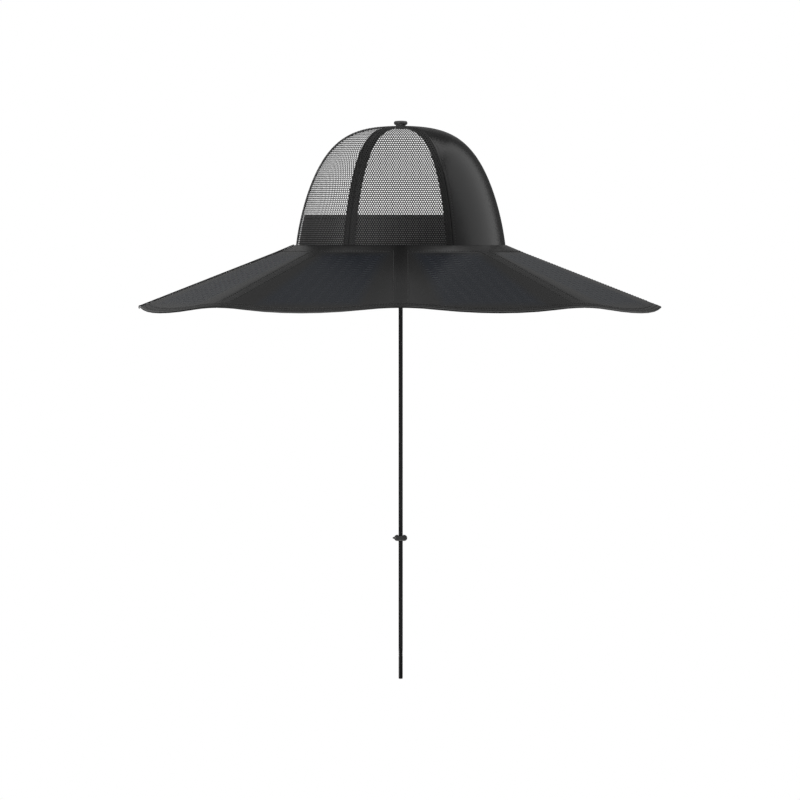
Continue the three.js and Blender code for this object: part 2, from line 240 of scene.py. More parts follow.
def twill_weave(tree, across, along, pitch):
    slant = calc(tree, "ADD", across, along)
    rib = ripple(tree, slant, pitch)
    thread = ripple(tree, across, pitch * 0.5)
    return calc(tree, "MULTIPLY_ADD", thread, 0.35, calc(tree, "MULTIPLY", rib, 0.65))


def set_bump(tree, surface, height, depth):
    bump = add_node(tree, "ShaderNodeBump", {"Height": height, "Distance": depth * MM})
    tree.links.new(bump.outputs["Normal"], surface.inputs["Normal"])


def cloth_shading(tree, uv, threads, least, contrast, patch_scale, fade):
    """How light the cloth is, from patches of dye, fuzz and its threads, and the height of its relief. The
    threads' part is painted shade: lighter on their crests, darker in the dips between them.
    """
    patches = remap(tree, noise(tree, uv, patch_scale, 4.0), 0.3, 0.7, 1 - fade, 1 + fade)
    fuzz = noise(tree, uv, 2.5, 2.0)
    # The weave's height also sets the colour: painted shade, darker in the dips between the threads.
    shading = calc(tree, "MULTIPLY", calc(tree, "MULTIPLY_ADD", threads, contrast, least), patches)
    shading = calc(tree, "MULTIPLY", shading, remap(tree, fuzz, 0.2, 0.8, 0.93, 1.07))
    return shading, calc(tree, "MULTIPLY_ADD", fuzz, 0.4, threads)


def set_shade(tree, surface, shading, shade, tint=(1, 1, 1)):
    colour = mix_colour(tree, remap(tree, shading, 0.0, 2.0), grey(0.0), grey(2 * shade, tint))
    tree.links.new(colour, surface.inputs["Base Color"])


def woven_material(name, shade, roughness, weave, pitch, depth, sheen, fade, tint=(1, 1, 1)):
    """Cloth whose threads show in relief, and in colour as painted shade that is darker in the dips between
    them, with faint patches of lighter and darker dye.
    """
    material, tree, surface = new_material(name, roughness, Sheen_Weight=sheen, Sheen_Roughness=0.4)
    uv, across, along = cloth_places(tree)
    shading, height = cloth_shading(tree, uv, weave(tree, across, along, pitch), 0.85, 0.30, 0.06, fade)
    set_shade(tree, surface, shading, shade, tint)
    set_bump(tree, surface, height, depth)
    return material


# Meshes

def link_object(name, mesh, material, body=HAT, replaced=()):
    mesh.materials.append(material)
    made = bpy.data.objects.new(name, mesh)
    bpy.context.scene.collection.objects.link(made)
    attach(made, body)
    if replaced:
        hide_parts(*replaced)
    return made


def build_mesh(name, points, faces, uv, sharp):
    """A mesh of four-sided faces, with one UV pair, in millimetres, for each face corner."""
    count = len(faces)
    mesh = bpy.data.meshes.new(name)
    mesh.vertices.add(len(points))
    mesh.vertices.foreach_set("co", (points * MM).ravel())
    mesh.loops.add(4 * count)
    mesh.loops.foreach_set("vertex_index", faces.ravel())
    mesh.polygons.add(count)
    mesh.polygons.foreach_set("loop_start", np.arange(count) * 4)
    mesh.polygons.foreach_set("use_smooth", np.ones(count, dtype=bool))
    mesh.uv_layers.new(name="UVMap").uv.foreach_set("vector", uv.ravel())
    mesh.update(calc_edges=True)
    mesh.validate()
    if sharp:
        mesh.set_sharp_from_angle(angle=sharp)
    return mesh


def grid_faces(uv, across, corners):
    """Faces and UVs between points in rows, from each corner's rows, columns and the points' first row."""
    faces = [(np.ravel(r) + first) * across + np.ravel(c) % across for r, c, first in corners]
    return np.stack(faces, axis=1), np.stack([uv[np.ravel(r), np.ravel(c)] for r, c, _ in corners], axis=1)


def wall_part(outer, inner, uv, ring=False):
    """Points, faces and UVs of a closed wall between two grids. uv has one column more than a ring has."""
    rows, across = outer.shape[0] - 1, outer.shape[1]
    columns = across if ring else across - 1
    parts = []

    def add(*corners):
        parts.append(grid_faces(uv, across, [(r, c, skin * (rows + 1)) for r, c, skin in corners]))

    r, c = np.mgrid[0:rows, 0:columns]
    add((r, c, 0), (r, c + 1, 0), (r + 1, c + 1, 0), (r + 1, c, 0))
    add((r, c, 1), (r + 1, c, 1), (r + 1, c + 1, 1), (r, c + 1, 1))
    c = np.arange(columns)
    low = np.zeros(columns, dtype=int)
    high = low + rows
    add((low, c, 0), (low, c, 1), (low, c + 1, 1), (low, c + 1, 0))
    add((high, c, 0), (high, c + 1, 0), (high, c + 1, 1), (high, c, 1))
    if not ring:
        r = np.arange(rows)
        left = np.zeros(rows, dtype=int)
        right = left + columns
        add((r, left, 0), (r + 1, left, 0), (r + 1, left, 1), (r, left, 1))
        add((r, right, 0), (r, right, 1), (r + 1, right, 1), (r + 1, right, 0))
    points = np.concatenate([outer.reshape(-1, 3), inner.reshape(-1, 3)])
    return facing_out(points, *(np.concatenate(lists) for lists in zip(*parts)))


def facing_out(points, faces, places):
    """The part with its faces' corners turned round if they enclose less than nothing."""
    a, b, c, d = (points[faces[:, corner]] for corner in range(4))
    turn = -1 if np.sum(a * (np.cross(b, c) + np.cross(c, d))) < 0 else 1
    return points, faces[:, ::turn], places[:, ::turn]


def tube_part(points, uv):
    """Points, faces and UVs of one skin round a grid of rings, open at its two ends."""
    r, c = np.mgrid[0:len(points) - 1, 0:points.shape[1]]
    corners = [(r, c, 0), (r, c + 1, 0), (r + 1, c + 1, 0), (r + 1, c, 0)]
    return facing_out(points.reshape(-1, 3), *grid_faces(uv, points.shape[1], corners))


def dress(node, suffix, part, material, sharp=math.radians(40)):
    """Shows a soft piece in place of its solid."""
    return link_object(node + suffix, build_mesh(node, *part, sharp), material, replaced=[node])


def polar(radius, angle, *height):
    return np.stack([radius * np.cos(angle), radius * np.sin(angle), *height], axis=-1)


def lengths_along(points):
    """The length of a path from its start to each of its points."""
    return np.concatenate([[0], np.cumsum(np.linalg.norm(np.diff(points, axis=0), axis=1))])


def spread(first, last, shares):
    return [first + (last - first) * share for share in shares]


def ridge(distance, width):
    """A rise that is 1 where the distance is 0 and dies away over the width."""
    return np.exp(-((distance / width) ** 2))


def quarter_round(edge, reach):
    """A round from 1 at an edge to 0 at a reach from it."""
    return 1 - np.sqrt(1 - np.clip(1 - edge / reach, 0, 1) ** 2)


def smooth_step(value, low, high):
    share = np.clip((value - low) / (high - low), 0, 1)
    return share * share * (3 - 2 * share)


def normalise(vectors):
    return vectors / np.linalg.norm(vectors, axis=-1, keepdims=True)


# Stitches: pitch, length and the thread's radius.
CROWN_STITCH = (2.6, 2.0, 0.2)
BAND_STITCH = (2.8, 2.2, 0.2)
BRIM_STITCH = (2.6, 2.05, 0.2)
TACK_STITCH = (1.0, 0.95, 0.16)
STITCH_SIDES = 6
STITCH_SHARES = (0.0, 0.12, 0.35, 0.65, 0.88, 1.0)


def stitch_shape(length, radius):
    """An arched thread, along x, with its ends sunk in the cloth."""
    share, angle = np.meshgrid(STITCH_SHARES, np.arange(STITCH_SIDES) * TAU / STITCH_SIDES, indexing="ij")
    arch = np.sin(math.pi * share)
    thin = radius * (0.35 + 0.65 * arch ** 0.5)
    lift = radius * (1.6 * arch - 0.9)
    points = np.stack([length * (share - 0.5), thin * np.cos(angle), lift + thin * np.sin(angle)], axis=-1)
    return tube_part(points, np.zeros((len(STITCH_SHARES), STITCH_SIDES + 1, 2)))[:2]


def stitch_line(path, normals, stitch):
    """Points and faces of stitches along a line on a surface, a pitch apart."""
    pitch, length, radius = stitch
    along = lengths_along(path)
    centres_at = np.arange(pitch / 2, along[-1], pitch)

    def at(values, places):
        return np.stack([np.interp(places, along, values[:, axis]) for axis in range(3)], axis=1)

    centre = at(path, centres_at)
    forward = normalise(at(path, centres_at + 0.3) - at(path, centres_at - 0.3))
    up = normalise(at(normals, centres_at))
    side = normalise(np.cross(up, forward))
    shape, shape_faces = stitch_shape(length, radius)
    points = (centre[:, None] + shape[None, :, :1] * forward[:, None]
              + shape[None, :, 1:2] * side[:, None] + shape[None, :, 2:] * up[:, None])
    faces = shape_faces[None] + (np.arange(len(centre)) * len(shape))[:, None, None]
    faces = faces.reshape(-1, 4)
    return points.reshape(-1, 3), faces, np.zeros((len(faces), 4, 2))


def join_parts(parts):
    """One list of points, faces and UVs from several."""
    starts = np.cumsum([0] + [len(part[0]) for part in parts[:-1]])
    points = np.concatenate([part[0] for part in parts])
    faces = np.concatenate([part[1] + start for part, start in zip(parts, starts)])
    places = np.concatenate([part[2] for part in parts])
    return points, faces, places


def sew(name, lines, thread):
    """Shows lines of stitches as one piece."""
    link_object(name, build_mesh(name, *join_parts(lines), sharp=None), thread)


# Crown

def crown_curve(share):
    share = np.asarray(share, dtype=float)[..., None]
    order = len(CROWN_OUTLINE) - 1
    place = 0
    for index, point in enumerate(CROWN_OUTLINE):
        weight = math.comb(order, index) * (1 - share) ** (order - index) * share ** index
        place = place + weight * point
    return place


OUTLINE_SHARES = np.linspace(0, 1, 2001)
OUTLINE_POINTS = crown_curve(OUTLINE_SHARES)
OUTLINE_LENGTHS = lengths_along(OUTLINE_POINTS)
OUTLINE_SLOPES = normalise(np.gradient(OUTLINE_POINTS, axis=0))


def at_length(up, table):
    return [np.interp(up, OUTLINE_LENGTHS, column) for column in table.T]


def crown_wall(up, depth):
    """Radius and height at a length up the crown's outline, set in by a depth, and level near the base."""
    radius, height = at_length(up, OUTLINE_POINTS)
    across, rise = at_length(up, OUTLINE_SLOPES)
    level = np.clip(1 - up / 3.0, 0, 1)
    set_in = depth * (level / rise + (1 - level) * rise)
    return radius - set_in, height + depth * (1 - level) * across


def up_at_radius(radius):
    return float(np.interp(-radius, -OUTLINE_POINTS[:, 0], OUTLINE_LENGTHS))


def up_at_height(height):
    return float(np.interp(height, OUTLINE_POINTS[:, 1], OUTLINE_LENGTHS))


CROWN_TOP = up_at_radius(SHANK_HOLE_RADIUS)


def on_crown(angle, up, depth):
    radius, height = crown_wall(up, depth)
    return polar(radius, angle, height * np.ones_like(angle))


def crown_normal(angle, up):
    across, rise = at_length(up, OUTLINE_SLOPES)
    return polar(rise, angle, -across * np.ones_like(angle))


def crown_grid(angles, ups, depth):
    """Points for rows of ups and columns of angles. depth may be a grid of its own."""
    angle, up = np.meshgrid(angles, ups)
    return on_crown(angle, up, depth)


def crown_uv(angles, ups):
    angle, up = np.meshgrid(angles, ups)
    return np.stack([angle * crown_wall(up, 0)[0], up], axis=-1)


def seam_strip(angle_of, ups, first, last, depth, thickness, columns, taper_radius=1.0):
    """A strip that follows a seam, between two distances aside of it. Its long edges are rounded.

    Inside the taper radius it narrows with the crown.
    """
    up = np.repeat(ups[:, None], columns + 1, axis=1)
    aside = np.repeat(np.linspace(first, last, columns + 1)[None], len(ups), axis=0)
    radius, _ = crown_wall(up, depth)
    edge = np.minimum(aside - first, last - aside)
    thin = 0.35 * thickness * (1 - smooth_step(edge, 0, 0.6))
    aside = aside * np.minimum(1, radius / taper_radius)
    angle = angle_of + aside / radius
    outer = on_crown(angle, up, depth + thin)
    inner = on_crown(angle, up, depth + thickness - thin)
    return wall_part(outer, inner, np.stack([aside, up], axis=-1))


NET_RISES = np.maximum(OUTLINE_SLOPES[:, 1], NET_LEAST_RISE)
NET_HEIGHTS = np.concatenate([[0], np.cumsum(NET_RISES[1:] * np.diff(OUTLINE_LENGTHS))])


def net_part(start, end, hole_size):
    """A gore of net, cut through with hexagonal holes, laid out flat and then drawn over the crown.

    The gore is stretched towards its sides and its top, so its rows and columns stay straight when seen
    from in front of it.
    """
    middle, half = (start + end) / 2, (end - start) / 2
    rows = np.arange(int(NET_HEIGHTS[-1] / NET_ROW) + 2)
    places = np.arange(-30, 31)
    row, place = (grid.ravel() for grid in np.meshgrid(rows, places, indexing="ij"))
    centres = np.stack([(place + 0.5 * (row % 2)) * NET_PITCH, (row + NET_FIRST_ROW) * NET_ROW], axis=1)
    up = np.interp(centres[:, 1], NET_HEIGHTS, OUTLINE_LENGTHS)
    radius, _ = crown_wall(up, 0)
    reach = math.sin(half) * radius + 0.35 * NET_PITCH
    centres = centres[(np.abs(centres[:, 0]) < reach) & (up < CROWN_TOP)]
    turns = np.radians(30 + 60 * np.arange(6))
    spokes = polar(1, turns)
    corners = (centres[:, None] + spokes * NET_PITCH / math.sqrt(3)).reshape(-1, 2)
    holes = (centres[:, None] + spokes * hole_size / math.sqrt(3)).reshape(-1, 2)
    keys, corner_index = np.unique(np.round(corners / 0.01).astype(int), axis=0, return_inverse=True)
    flat = np.concatenate([keys * 0.01, holes])
    up = np.clip(np.interp(flat[:, 1], NET_HEIGHTS, OUTLINE_LENGTHS), 0, CROWN_TOP)
    radius, _ = crown_wall(up, 0)
    limit = half - SEAM_GAP / radius
    angle = middle + np.clip(np.arcsin(np.clip(flat[:, 0] / radius, -1, 1)), -limit, limit)
    sunk = np.concatenate([np.zeros(len(keys)), np.full(len(holes), 0.25 * NET_THICKNESS)])
    skins = [on_crown(angle, up, NET_DEPTH + depth) for depth in (sunk, NET_THICKNESS - sunk)]
    corner = corner_index.reshape(-1, 6)
    hole = len(keys) + np.arange(len(holes)).reshape(-1, 6)
    corner_next, hole_next = np.roll(corner, -1, axis=1), np.roll(hole, -1, axis=1)
    under = len(flat)
    quads = [
        np.stack([corner, corner_next, hole_next, hole], axis=-1),
        np.stack([hole, hole_next, corner_next, corner], axis=-1) + under,
        np.stack([hole, hole_next, hole_next + under, hole + under], axis=-1),
    ]
    faces = np.concatenate([quad.reshape(-1, 4) for quad in quads])
    layout = np.concatenate([flat, flat])
    return np.concatenate(skins), faces, layout[faces]


def net_panel(node, start, end, hole_size, material):
    """The net, with the folded selvedge that its two long edges are sewn by."""
    ups = np.linspace(0, CROWN_TOP, 70)
    edges = [seam_strip(start, ups, SEAM_GAP, SELVEDGE, 0, SELVEDGE_THICKNESS, 2),
             seam_strip(end, ups, -SELVEDGE, -SEAM_GAP, 0, SELVEDGE_THICKNESS, 2)]
    dress(node, "_net", join_parts([net_part(start, end, hole_size), *edges]), material)


def front_panel(material):
    half = math.radians(60)
    ups = np.linspace(0, CROWN_TOP, 80)
    shares = np.linspace(-1, 1, 121)
    shares = np.sign(shares) * (1 - (1 - np.abs(shares)) ** 1.25)
    up = np.repeat(ups[:, None], len(shares), axis=1)
    radius, _ = crown_wall(up, 0)
    angle = shares[None] * (half - SEAM_GAP / radius)
    edge = (half - np.abs(angle)) * radius
    fold = 0.45 * quarter_round(edge, 1.2)
    groove = 0.08 * ridge(edge - PANEL_STITCH_INSET, 0.6)
    outer = on_crown(angle, up, fold + groove)
    inner = on_crown(angle, up, CLOTH_THICKNESS - 0.5 * fold)
    part = wall_part(outer, inner, np.stack([angle * radius, up], axis=-1))
    dress("front_panel", "_cloth", part, material)


# Each tape's seam, on which side of it the net meets the front panel, and how deep the tape lies.
SEAMS = (
    ("seam_tape_left_front", 60, 1, 1.3),
    ("seam_tape_left_back", 120, 0, 0.9),
    ("seam_tape_back", 180, 0, 0.9),
    ("seam_tape_right_back", 240, 0, 0.9),
    ("seam_tape_right_front", 300, -1, 1.3),
)
FRONT_TAPE_SHIFT = -0.2
TAPE_TAPER_RADIUS = 14.0
TAPE_END_RADIUS = 7.5
TAPE_STITCH_TOP_RADIUS = 19.0
PANEL_STITCH_TOP_RADIUS = 9.0
PANEL_STITCH_INSET = 3.0


def seam_tape(node, seam, side, depth, material):
    ups = np.linspace(0, up_at_radius(TAPE_END_RADIUS), 90)
    half = TAPE_WIDTH / 2
    shift = FRONT_TAPE_SHIFT * side
    part = seam_strip(math.radians(seam), ups, shift - half, shift + half, depth, TAPE_THICKNESS, 16,
                      TAPE_TAPER_RADIUS)
    dress(node, "_cloth", part, material)


def crown_line(seam, aside, depth, top_radius):
    ups = np.linspace(1.5, up_at_radius(top_radius), 160)
    radius, _ = crown_wall(ups, 0)
    angle = math.radians(seam) + aside / radius
    return on_crown(angle, ups, depth), crown_normal(angle, ups)


def crown_stitches(material):
    """Two rows of thread along each seam, seen outside on the net and inside on the tape."""
    parts = []
    for _, seam, side, tape_depth in SEAMS:
        for aside in (1.8 * side, 4.6 * side) if side else (-4.6, 4.6):
            for depth, turn in ((0.2, 1), (tape_depth + TAPE_THICKNESS + 0.03, -1)):
                path, normals = crown_line(seam, aside, depth, TAPE_STITCH_TOP_RADIUS)
                parts.append(stitch_line(path, normals * turn, CROWN_STITCH))
        if side:
            path, normals = crown_line(seam, -PANEL_STITCH_INSET * side, 0.12, PANEL_STITCH_TOP_RADIUS)
            parts.append(stitch_line(path, normals, CROWN_STITCH))
    sew("crown_stitches", parts, material)


def sweatband(material, thread):
    columns = 180
    angles = np.arange(columns) * TAU / columns
    top = up_at_height(BAND_HEIGHT)
    shares = np.concatenate([[0, 0.01, 0.03], np.linspace(0.06, 0.94, 24), [0.97, 0.985, 0.995, 1.0]])
    ups = shares * top
    edge = np.minimum(shares, 1 - shares) * top
    thin = 0.5 * quarter_round(edge, 0.8)
    pad = -0.25 * np.sin(np.pi * shares) + 0.2 * ridge(ups - top + BAND_STITCH_INSET, 0.8)
    outer = crown_grid(angles, ups, (BAND_DEPTH + thin)[:, None])
    inner = crown_grid(angles, ups, (BAND_DEPTH + BAND_THICKNESS - thin - pad * 0.6 - 0.15)[:, None])
    part = wall_part(outer, inner, crown_uv(np.append(angles, TAU), ups), ring=True)
    dress("sweatband", "_cloth", part, material)
    circle = np.linspace(0, TAU, 361)
    up = np.full_like(circle, top - BAND_STITCH_INSET)
    parts = []
    for depth, turn in ((BAND_DEPTH - 0.02, 1), (BAND_DEPTH + BAND_THICKNESS - 0.2, -1)):
        parts.append(stitch_line(on_crown(circle, up, depth), crown_normal(circle, up) * turn, BAND_STITCH))
    sew("sweatband_stitches", parts, thread)


def top_button(material):
    outline = [(0.01, SHANK_FOOT), (SHANK_RADIUS - 0.3, SHANK_FOOT), (SHANK_RADIUS, SHANK_FOOT + 0.3)]
    foot = BUTTON_TOP - BUTTON_THICKNESS
    half = (BUTTON_THICKNESS - BUTTON_CROWN) / 2
    outline += [(SHANK_RADIUS, foot - 0.1), (SHANK_RADIUS + 0.1, foot)]
    for turn in np.radians(np.linspace(-80, 90, 18)):
        reach = BUTTON_RADIUS - BUTTON_ROUNDING * (1 - math.cos(turn))
        outline.append((reach, foot + half * (1 + math.sin(turn))))
    for share in (0.8, 0.6, 0.4, 0.2, 0.06, 0.01):
        radius = (BUTTON_RADIUS - BUTTON_ROUNDING) * share
        outline.append((radius, BUTTON_TOP - BUTTON_CROWN * share ** 2))
    outline = np.array(outline)
    angles = np.arange(BUTTON_SIDES + 1) * TAU / BUTTON_SIDES
    angle, radius = np.meshgrid(angles, outline[:, 0])
    height = np.repeat(outline[:, 1:], len(angles), axis=1)
    lengths = np.repeat(lengths_along(outline)[:, None], len(angles), axis=1)
    uv = np.stack([angle * BUTTON_RADIUS, lengths], axis=-1)
    top = height > BUTTON_TOP - 1.7
    uv = np.where(top[..., None], polar(radius, angle), uv)
    part = tube_part(polar(radius, angle, height)[:, :-1], uv)
    dress("top_button", "_cloth", part, material)


# Brim

def facet_height(radius, fold_angle):
    """Height of the top skin at a radius and at an angle from the nearest fold."""
    along = radius * np.cos(HALF_FACET - fold_angle)
    rounding = FOLD_ROUNDING_BASE + FOLD_ROUNDING_GROWTH * radius
    fold_fall = FACET_FALL * math.sin(HALF_FACET)
    inside = np.maximum(0, rounding - radius * np.sin(fold_angle))
    return FACET_APEX - FACET_FALL * along - fold_fall * inside ** 2 / (2 * rounding)


def brim_height(radius, fold_angle):
    """The facets' height, led over a ring by the crown to a level seat."""
    ring_end = PANEL_TOP / np.cos(HALF_FACET - fold_angle)
    lift = BRIM_SEAT_HEIGHT - facet_height(BRIM_SEAT_RADIUS, fold_angle)
    share = np.maximum(0, (ring_end - radius) / (ring_end - BRIM_SEAT_RADIUS))
    height = facet_height(radius, fold_angle) + lift * share
    return np.where(radius <= BRIM_SEAT_RADIUS, BRIM_SEAT_HEIGHT, height)


def facet_row(shape, place, distances):
    """One row of a facet in its own plan, from fold to fold: along its middle line and aside of it."""
    from_fold = np.array(distances(place * math.sin(HALF_FACET)))
    if shape == "ring":
        half = polar(place, HALF_FACET - np.arcsin(from_fold / place))
    else:
        aside = place * math.tan(HALF_FACET) - from_fold / math.cos(HALF_FACET)
        half = np.stack([np.full_like(aside, place), aside], axis=-1)
    return np.concatenate([half, half[:-1][::-1] * [1, -1]])


def facet_frame(plan):
    """Radius, angle aside of the middle line and distance from the fold line, of points in a facet's plan."""
    radius = np.linalg.norm(plan, axis=-1)
    aside = np.arctan2(plan[..., 1], plan[..., 0])
    return radius, aside, radius * np.sin(HALF_FACET - np.abs(aside))


def on_facet(plan, facet, drop):
    radius, aside, _ = facet_frame(plan)
    height = brim_height(radius, HALF_FACET - np.abs(aside)) - drop
    return polar(radius, aside - (2 * facet + 1) * HALF_FACET, height)


def rim_drop(radius):
    return 0.75 * quarter_round(RIM_RADIUS - radius, RIM_ROUNDING)


def brim_top_drop(plan):
    """How far the cloth lies below the brim's surface: pockets, stitched grooves, hem and rounded rim."""
    radius, _, from_fold = facet_frame(plan)
    into = np.minimum(from_fold - STRIP_HALF_WIDTH, plan[..., 0] - PANEL_TOP)
    into = np.minimum(into, PANEL_FOOT_RADIUS - radius)
    pocket = POCKET_LIP * smooth_step(into, -0.8, 0) + (POCKET_DEPTH - POCKET_LIP) * smooth_step(into, 0, 0.2)
    groove = 0.03 * ridge(into + EDGE_STITCH_INSET, 0.45)
    fade = smooth_step(radius, 97, 101) * (1 - smooth_step(radius, 226.5, 228))
    crease = 0.08 * ridge(from_fold, 0.5) * smooth_step(radius, 97, 110)
    hem = HEM_RISE * (ridge(radius - HEM_STITCH_RADIUS, 0.5) - smooth_step(radius, 229.2, 229.9))
    return pocket + groove * fade + crease + hem + rim_drop(radius)


def brim_under_drop(plan):
    """How far the underside lies below the brim's surface, with its seams, hem groove and rounded rim."""
    radius, _, from_fold = facet_frame(plan)
    near_rim = smooth_step(radius, PANEL_FOOT_RADIUS, RIM_RADIUS)
    thickness = BRIM_THICKNESS + (RIM_THICKNESS - BRIM_THICKNESS) * near_rim
    seam = 0.3 * ridge(from_fold, 0.5) * smooth_step(radius, 97, 104)
    hem = 0.25 * ridge(radius - HEM_STITCH_RADIUS, 0.5)
    return thickness - rim_drop(radius) - seam - hem


STRIP_COLUMNS = (0, 0.3, 0.7, 1.3, 2.2, 3.4, 4.6, 5.5, 6.0, 6.3, 6.5, 6.7, 7.0, 7.4, 7.7, 7.9,
                 STRIP_HALF_WIDTH, 8.07, 8.13)
POCKET_SHARES = (0.0, 0.04, 0.15, 0.32, 0.55, 0.78, 1.0)
POCKET_EDGE = STRIP_HALF_WIDTH + 0.2


def brim(material):
    def distances(middle):
        return [*STRIP_COLUMNS, *spread(POCKET_EDGE, middle, POCKET_SHARES)]

    def rows_at(shape, place, *steps):
        return [facet_row(shape, place + step, distances) for step in steps]

    rows = rows_at("ring", 0, BRIM_INNER_RADIUS, 90.6, 92.5, 94.2)
    rows += spread(*rows_at("ring", BRIM_SEAT_RADIUS, 0), *rows_at("line", PANEL_TOP, -2.4),
                   (0, 0.12, 0.3, 0.5, 0.75, 1))
    rows += rows_at("line", PANEL_TOP, -2.0, -1.7, -1.5, -1.3, -1.0, -0.6, -0.3, 0, 0.07, 0.13)
    rows += spread(*rows_at("line", PANEL_TOP, 0.2), *rows_at("ring", PANEL_FOOT_RADIUS, -0.2),
                   np.linspace(0, 1, 25))
    rows += rows_at("ring", PANEL_FOOT_RADIUS,
                    -0.13, -0.07, 0, 0.3, 0.6, 1.0, 1.3, 1.5, 1.7, 2.0, 2.6, 3.3, 3.6, 3.9)
    rows += rows_at("ring", HEM_STITCH_RADIUS, -0.6, -0.3, 0, 0.3, 0.6)
    rows += rows_at("ring", RIM_RADIUS, -1.8, -1.2, -0.8, -0.6, -0.42, -0.26, -0.13, -0.04, 0)
    plan = np.array(rows)
    cells = plan.shape[1] - 1
    plan = plan[:, :cells]
    outer, inner = (np.concatenate([on_facet(plan, facet, drop) for facet in range(FACETS)], axis=1)
                    for drop in (brim_top_drop(plan), brim_under_drop(plan)))
    points, faces, _ = wall_part(outer, inner, np.zeros((len(plan), FACETS * cells + 1, 2)), ring=True)
    part = points, faces, facet_plan_uv(points[faces])
    dress("brim", "_cloth", part, material, math.radians(50))


def facet_plan_uv(corners):
    """Each face corner's place in the plan of the facet that its face lies on: aside and along."""
    middle = corners[..., :2].mean(axis=1)
    turn = np.arctan2(middle[:, 1], middle[:, 0]) / (2 * HALF_FACET)
    angle = ((np.floor(turn) + 0.5) * 2 * HALF_FACET)[:, None]
    x, y = corners[..., 0], corners[..., 1]
    aside = y * np.cos(angle) - x * np.sin(angle)
    along = x * np.cos(angle) + y * np.sin(angle)
    return np.stack([aside, along], axis=-1)


def facet_line(plan, facet, drop, turn=1):
    """A line on a facet, with the normals that stitches on it stand by."""
    path = on_facet(plan, facet, drop)
    along = on_facet(plan + [0.1, 0], facet, drop) - path
    aside = on_facet(plan + [0, 0.1], facet, drop) - path
    return path, normalise(np.cross(along, aside)) * turn


def brim_stitches(material):
    """Thread round each panel, along the hem and under it."""
    first = STRIP_HALF_WIDTH + EDGE_STITCH_INSET
    top_line = facet_row("line", PANEL_TOP - EDGE_STITCH_INSET, lambda middle: [first, middle])
    lines = [np.linspace(top_line[0], top_line[-1], 30)]
    along = np.linspace(100.5, 208.6, 60)
    from_fold = (STRIP_HALF_WIDTH - EDGE_STITCH_INSET) / math.cos(HALF_FACET)
    for hand in (-1, 1):
        lines.append(np.stack([along, hand * (along * math.tan(HALF_FACET) - from_fold)], axis=-1))
    turns = np.linspace(-HALF_FACET, HALF_FACET, 60)
    hem = polar(HEM_STITCH_RADIUS, turns)
    lines += [hem, polar(PANEL_FOOT_RADIUS + EDGE_STITCH_INSET, turns)]
    parts = []
    for facet in range(FACETS):
        rows = [facet_line(line, facet, brim_top_drop(line) - 0.12) for line in lines]
        rows.append(facet_line(hem, facet, brim_under_drop(hem) + 0.12, -1))
        parts += [stitch_line(path, normals, BRIM_STITCH) for path, normals in rows]
    sew("brim_stitches", parts, material)


def solar_panel(facet, material):
    """A laminate that fills its pocket, with a narrow chamfer all round."""
    first = STRIP_HALF_WIDTH + PANEL_EDGE_GAP

    def distances(middle):
        return [first, first + 0.2, first + 0.5, first + 1.0, first + 1.8,
                *spread(first + 3, middle, (0, 0.2, 0.45, 0.72, 1))]

    top = PANEL_TOP + PANEL_EDGE_GAP
    foot = PANEL_FOOT_RADIUS - PANEL_EDGE_GAP
    rows = [facet_row("line", top + step, distances) for step in (0, 0.2, 0.5, 1.0)]
    rows += spread(facet_row("line", top + 1.8, distances), facet_row("ring", foot - 1.8, distances),
                   np.linspace(0, 1, 25))
    rows += [facet_row("ring", foot - step, distances) for step in (1.0, 0.5, 0.2, 0)]
    plan = np.array(rows)
    radius, _, from_fold = facet_frame(plan)
    edge = np.minimum(np.minimum(from_fold - first, plan[..., 0] - top), foot - radius)
    outer = on_facet(plan, facet, PANEL_EDGE_DROP * (1 - 0.6 * smooth_step(edge, 0, 1.6)))
    inner = on_facet(plan, facet, PANEL_THICKNESS)
    part = wall_part(outer, inner, plan[..., ::-1])
    dress(f"solar_panel_{facet + 1}", "_laminate", part, material)


